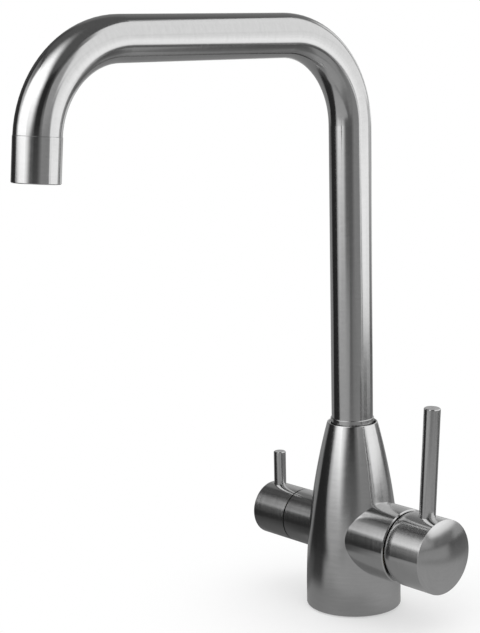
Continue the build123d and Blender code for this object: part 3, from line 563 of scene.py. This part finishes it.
walls = {
    "rightWall": {
        "corners": standing("frontRight", "backRight"),
        "measured": nearUp,
        "glow": (0.30, 0.30),
        "grid": (140, 140),
        "lights": [
            softLight((0.55, 1.30), (0.35, 0.92), (0.42, 0.42), (0.10, 0.10)),
            softLight((0.60, 1.30), (0.98, 1.50), (0.15, 0.07), (0.10, 0.10)),
            softLight((-0.90, -0.30), (-0.1, 0.06), (0.12, 0.12), (0.05, 0.01)),
            softLight((-0.30, 0.38), (-0.1, 0.06), (0.30, 0.42), (0.05, 0.01)),
            softLight((-0.03, 0.20), (-0.1, 0.06), (0.10, 0.20), (0.03, 0.01)),
            softLight((-0.90, -0.24), (0.07, 0.31), (0.22, 0.75), (0.04, 0.02)),
            softLight((0.10, 0.33), (0.07, 0.33), (0.95, 1.30), (0.03, 0.012), (0.42, 0.42)),
            softLight((-0.25, 0.20), (0.07, 0.33), (1.00, 1.20), (0.03, 0.012)),
            softLight((-0.25, -0.04), (0.10, 0.25), (1.15, 1.30), (0.03, 0.02)),
            softLight((-0.05, 0.21), (0.105, 0.245), (1.30, 1.30), (0.03, 0.02), (0.10, 0.60)),
            softLight((0.215, 0.255), (0.05, 0.21), (0.15, 0.30), (0.012, 0.02), (0.55, 0.55)),
            softLight((-0.60, 0.48), (0.32, 0.47), (1.12, 1.06), (0.06, 0.02)),
            softLight((-0.60, 0.58), (0.45, 1.00), (1.06, 1.05), (0.05, 0.05)),
            softLight((-0.60, 0.45), (0.95, 1.45), (1.08, 1.05), (0.10, 0.04), (-0.4, -0.4)),
        ],
    },
    "leftWall": {
        "corners": standing("leftBend", "frontLeft"),
        "measured": nearUp,
        "glow": (0.05, 0.05),
        "grid": (90, 90),
        "lights": [
            softLight((0.18, 2.00), (-0.1, 0.34), (0.12, 0.62), (0.03, 0.02)),
            softLight((0.34, 2.00), (-0.1, 0.17), (0.38, 0.90), (0.16, 0.02)),
            softLight((0.34, 2.00), (0.16, 0.34), (0.90, 1.50), (0.16, 0.02)),
            softLight((-1.00, 2.00), (0.33, 1.60), (1.65, 1.80), (0.05, 0.05)),
        ],
    },
    "leftBackWall": {
        "corners": standing("backLeft", "leftBend"),
        "measured": nearUp,
        "glow": (0.025, 0.06),
        "grid": (160, 140),
        "lights": [
            softLight((-1.00, -0.62), (-0.1, 0.20), (0.15, 0.13), (0.08, 0.04)),
            softLight((-0.08, 0.40), (0.345, 0.62), (0.30, 0.36), (0.03, 0.02), (-0.18, 0.0)),
            softLight((-0.17, 0.40), (0.60, 1.25), (0.38, 0.16), (0.05, 0.04), (-0.50, 0.0)),
            softLight((0.00, 0.40), (0.345, 0.62), (0.70, 0.80), (0.03, 0.02), (-0.15, 0.0)),
            softLight((-0.06, 0.40), (0.58, 0.90), (0.78, 0.45), (0.04, 0.05), (-0.50, 0.0)),
            softLight((0.065, 0.40), (0.25, 0.37), (0.45, 0.80), (0.02, 0.03)),
            softLight((0.09, 0.40), (0.36, 1.10), (1.30, 1.50), (0.03, 0.06)),
        ],
    },
    "frontWall": {
        "corners": standing("frontLeft", "frontRight"),
        "measured": sideUp,
        "glow": (0.15, 0.04),
        "grid": (140, 110),
        "lights": [
            softLight((-2.00, -0.78), (-0.1, 0.50), (0.45, 1.60), (0.35, 0.08)),
            softLight((0.30, 0.90), (-0.1, 0.68), (0.26, 0.26), (0.15, 0.15)),
            softLight((-0.28, 0.12), (0.295, 0.46), (0.06, 0.05), (0.08, 0.02)),
            softLight((-0.28, 0.17), (0.42, 1.50), (0.035, 0.025), (0.08, 0.04), (0.20, 0.25)),
            softLight((-2.00, -0.56), (0.48, 1.60), (1.20, 1.95), (0.30, 0.12), (0.0, 0.35)),
        ],
    },
    "backWall": {
        "corners": standing("backRight", "backLeft"),
        "measured": sideUp,
        "glow": (0.32, 0.16),
        "grid": (140, 120),
        "lights": [
            softLight((-1.50, -0.50), (0.26, 1.60), (0.06, 0.10), (0.08, 0.03)),
            softLight((-1.50, -0.66), (0.17, 0.255), (0.16, 0.14), (0.06, 0.02)),
            softLight((-0.18, 0.80), (-0.1, 0.62), (0.55, 0.42), (0.08, 0.08)),
            softLight((0.12, 0.80), (0.30, 0.85), (0.85, 0.90), (0.08, 0.05), (0.35, 0.0)),
            softLight((0.10, 0.42), (0.05, 0.19), (0.75, 0.72), (0.05, 0.02)),
            softLight((0.10, 0.80), (0.20, 0.25), (0.40, 0.38), (0.05, 0.015)),
            softLight((0.14, 0.80), (0.262, 0.31), (1.20, 1.05), (0.05, 0.012)),
        ],
    },
    "ceiling": {
        "corners": lying(levels["top"]),
        "measured": nearSide,
        "glow": (0.12, 0.12),
        "grid": (90, 90),
        "lights": [
            softLight((0.25, 2.00), (-1.40, -0.24), (2.20, 1.50), (0.35, 0.22)),
            softLight((-0.62, -0.40), (0.40, 0.80), (0.50, 0.60), (0.05, 0.03)),
        ],
    },
    "tableTop": {
        "corners": lying(levels["table"]),
        "measured": nearSide,
        "glow": (0.26, 0.26),
        "grid": (220, 200),
        "lights": [
            softLight((-1.00, -0.30), (-1.40, 0.80), (0.26, 0.30), (0.10, 0.10)),
            softLight((-1.00, -0.12), (0.29, 0.80), (0.18, 0.18), (0.06, 0.03)),
            softLight((0.50, 2.00), (-0.25, 0.08), (0.17, 0.18), (0.12, 0.08)),
            softLight((-0.02, 0.34), (-0.09, 0.18), (0.41, 0.38), (0.05, 0.035)),
            softLight((0.20, 0.42), (0.15, 0.30), (0.34, 0.34), (0.04, 0.04)),
            softLight((-0.12, 0.15), (0.18, 0.80), (0.18, 0.03), (0.03, 0.03)),
            softLight((-0.12, 0.30), (0.29, 0.80), (0.13, 0.06), (0.04, 0.04)),
            softLight((0.04, 0.27), (0.19, 0.415), (0.36, 0.34), (0.02, 0.025)),
            softLight((0.085, 2.00), (-0.52, -0.14), (0.46, 0.43), (0.02, 0.05)),
            softLight((0.16, 2.00), (-1.40, -0.50), (0.50, 0.46), (0.14, 0.05)),
            softLight((-0.74, 0.283), (-1.40, -0.105), (0.025, 0.03), (0.03, 0.02), (0.50, -0.146)),
            # dimmer patch next to the foot: painted shadow of the tap on the table, seen only in
            # reflections
            softLight((-0.02, 0.07), (-0.09, 0.03), (0.27, 0.30), (0.015, 0.02)),
            softLight((-0.080, -0.020), (-0.16, -0.01), (0.06, 0.18), (0.012, 0.015)),
            softLight((-0.028, 0.034), (-0.25, -0.075), (0.03, 0.07), (0.012, 0.015)),
            softLight((0.045, 0.18), (-0.155, -0.085), (0.36, 0.38), (0.02, 0.015)),
        ],
    },
}
glowMaterial = wallGlow()
for name, s in walls.items():
    studioWall(name, s, glowMaterial)
print("studio walls:", len(walls))


# pale floor that keeps the tap's shadow and turns to the white of the background at its rim

floor = {
    "radius": 0.16,
    "level": -0.0006,
    "rings": 24,
    "rays": 96,
    "colour": 0.9,
    "fadeStart": 0.05,
    "fadeEnd": 0.1552,
    "lift": 0.4,  # how far it is white already at the foot
}
white = (1.0, 1.0, 1.0, 1.0)
worldStrength = 1.15


def floorDisc(s):
    # rings of points at even radii round the foot, joined by quads, with one fan in the middle
    rings, rays = s["rings"], s["rays"]
    radius = np.linspace(0, s["radius"], rings + 1)[1:]
    angle = np.linspace(0, 2 * math.pi, rays, endpoint=False)
    level = np.full((rings, rays), s["level"])
    ring = np.stack([np.outer(radius, np.cos(angle)), np.outer(radius, np.sin(angle)), level], -1)
    points = np.vstack([[[0, 0, s["level"]]], ring.reshape(-1, 3)])
    index = 1 + np.arange(rings * rays).reshape(rings, rays)
    after = np.roll(index, -1, 1)
    quads = np.stack([index[:-1], index[1:], after[1:], after[:-1]], -1).reshape(-1, 4)
    fan = np.stack([np.zeros(rays, int), index[0], after[0]], -1)
    mesh = bpy.data.meshes.new("floorDisc")
    mesh.from_pydata(points.tolist(), [], quads.tolist() + fan.tolist())
    disc = bpy.data.objects.new("floorDisc", mesh)
    bpy.context.scene.collection.objects.link(disc)
    return disc


def seenDirectly(tree):
    # 1 where it is seen straight, in a mirror or through something clear, 0 where it only lights
    path = tree.nodes.new("ShaderNodeLightPath")
    either = scalar(tree, "MAXIMUM", path.outputs["Is Camera Ray"], path.outputs["Is Glossy Ray"])
    return scalar(tree, "MAXIMUM", either, path.outputs["Is Transmission Ray"])


def floorMaterial(s):
    made, tree = startMaterial("paleFloor")
    distance = vector(tree, "LENGTH", pieceCoords(tree).outputs["Object"])
    fade = carried(tree, distance, (s["fadeStart"], s["fadeEnd"]), easing="SMOOTHSTEP")
    whiter = scalar(tree, "MULTIPLY_ADD", fade, 1.0 - s["lift"], s["lift"])
    matte = tree.nodes.new("ShaderNodeBsdfDiffuse")
    matte.inputs["Color"].default_value = (s["colour"], s["colour"], s["colour"], 1.0)
    background = tree.nodes.new("ShaderNodeEmission")
    background.inputs["Color"].default_value = white
    background.inputs["Strength"].default_value = 1.0
    blend = tree.nodes.new("ShaderNodeMixShader")
    feed(tree, blend.inputs[0], scalar(tree, "MULTIPLY", whiter, seenDirectly(tree)))
    feed(tree, blend.inputs[1], matte.outputs[0])
    feed(tree, blend.inputs[2], background.outputs[0])
    showOn(tree, blend)
    return made


def paleWorld(strength):
    # plain white where it is seen, and as strong as asked where it lights the floor
    world = bpy.data.worlds.new("paleWorld")
    bpy.context.scene.world = world
    world.use_nodes = True
    tree = world.node_tree
    tree.nodes.clear()
    ground = tree.nodes.new("ShaderNodeBackground")
    ground.inputs["Color"].default_value = white
    glow = scalar(tree, "MULTIPLY_ADD", seenDirectly(tree), 1.0 - strength, strength)
    feed(tree, ground.inputs["Strength"], glow)
    showOn(tree, ground, "ShaderNodeOutputWorld")


floorDisc(floor).data.materials.append(floorMaterial(floor))
paleWorld(worldStrength)
print("floor and background ready")
